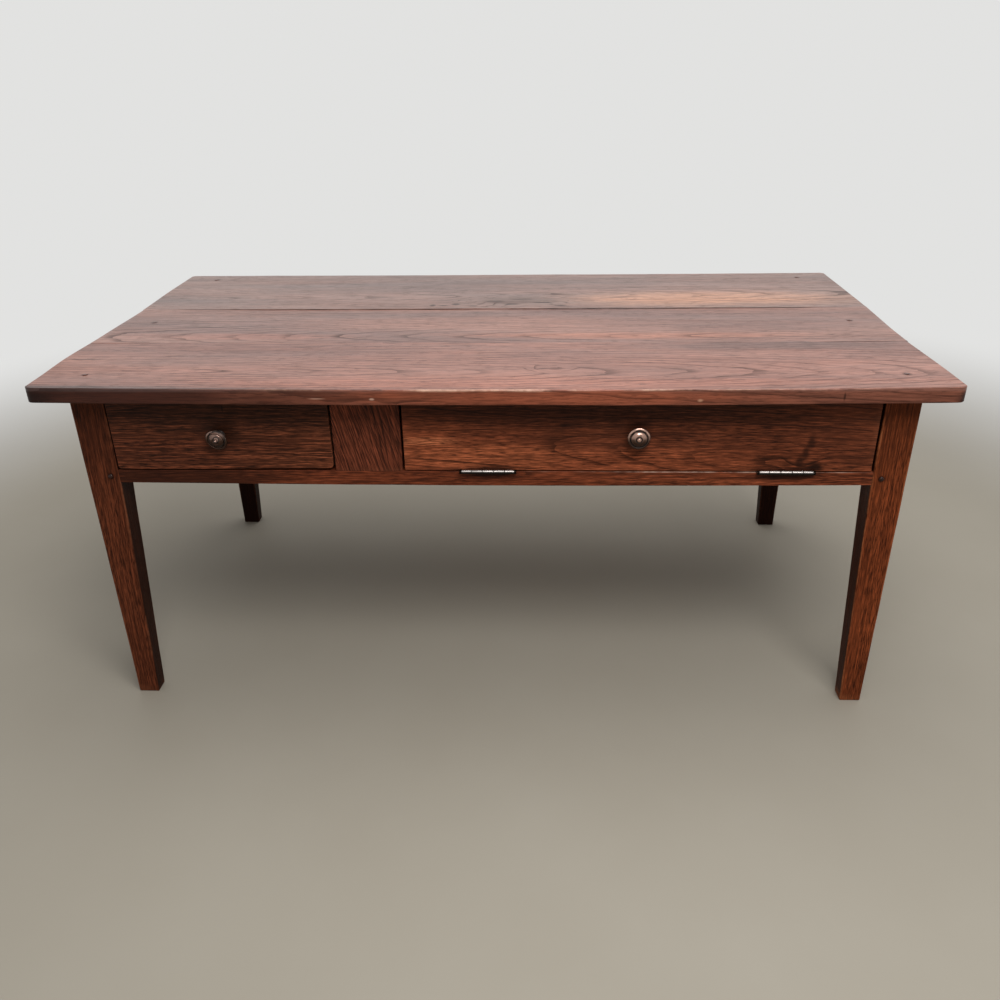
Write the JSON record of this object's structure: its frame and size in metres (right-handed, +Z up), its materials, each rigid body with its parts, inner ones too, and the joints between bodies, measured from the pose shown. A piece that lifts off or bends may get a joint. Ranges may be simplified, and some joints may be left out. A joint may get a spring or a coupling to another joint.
{
  "type": "table with drawer",
  "caption": "Long wooden table on tapered legs with a drawer and a hinged drop flap in its apron, each with a round metal knob.",
  "frame": {"origin": "on the floor, under the middle of the table top", "axes": "+X to the right along the length as seen from the front, +Y to the back, +Z up"},
  "size_m": [1.73, 0.92, 0.74],
  "materials": {
    "top_oak": "waxed, worn satin",
    "frame_oak": "waxed satin",
    "drawer_front_oak": "waxed satin",
    "flap_oak": "waxed satin",
    "inner_oak": "bare, matt",
    "peg_oak": "waxed satin",
    "bronze": "antique, darkened",
    "steel": "polished"
  },
  "bodies": {
    "frame": {"top_front_board": "top_oak", "top_middle_board": "top_oak", "top_rear_board": "top_oak", "top_pegs": "peg_oak", "front_left_leg": "frame_oak", "rear_left_leg": "frame_oak", "front_right_leg": "frame_oak", "rear_right_leg": "frame_oak", "front_rail": "frame_oak", "rear_rail": "frame_oak", "left_side_rail": "frame_oak", "right_side_rail": "frame_oak", "front_rail_pegs": "peg_oak", "rear_rail_pegs": "peg_oak", "left_rail_pegs": "peg_oak", "right_rail_pegs": "peg_oak", "front_stile": "frame_oak", "partition": "inner_oak", "left_drawer_runner": "inner_oak", "right_drawer_runner": "inner_oak", "drawer_guide": "inner_oak", "left_drawer_kicker": "inner_oak", "right_drawer_kicker": "inner_oak", "drawer_stops": "inner_oak", "floor_board_1": "inner_oak", "floor_board_2": "inner_oak", "floor_board_3": "inner_oak", "floor_board_4": "inner_oak", "floor_board_5": "inner_oak", "front_floor_cleat": "inner_oak", "rear_floor_cleat": "inner_oak", "cleat_screws": "steel", "flap_stops": "inner_oak", "flap_stop_screws": "steel", "left_hinge_lower_leaf": "steel", "right_hinge_lower_leaf": "steel", "left_hinge_pin": "steel", "right_hinge_pin": "steel", "lower_leaf_screws": "steel"},
    "drawer": {"drawer_front": "drawer_front_oak", "drawer_left_side": "inner_oak", "drawer_right_side": "inner_oak", "drawer_back": "inner_oak", "drawer_bottom": "inner_oak", "drawer_bottom_nails": "steel", "drawer_knob": "bronze", "drawer_knob_screw": "steel"},
    "flap": {"flap_board": "flap_oak", "flap_knob": "bronze", "flap_knob_screw": "steel", "left_hinge_upper_leaf": "steel", "right_hinge_upper_leaf": "steel", "upper_leaf_screws": "steel"}
  },
  "joints": [
    {"name": "drawer_slide", "type": "slide", "parent": "frame", "child": "drawer", "axis": [0, -1, 0], "range_m": [0, 0.36]},
    {"name": "flap_hinge", "type": "hinge", "parent": "frame", "child": "flap", "pos_m": [0, -0.4248, 0.5542], "axis": [1, 0, 0], "range_deg": [0, 180]}
  ]
}
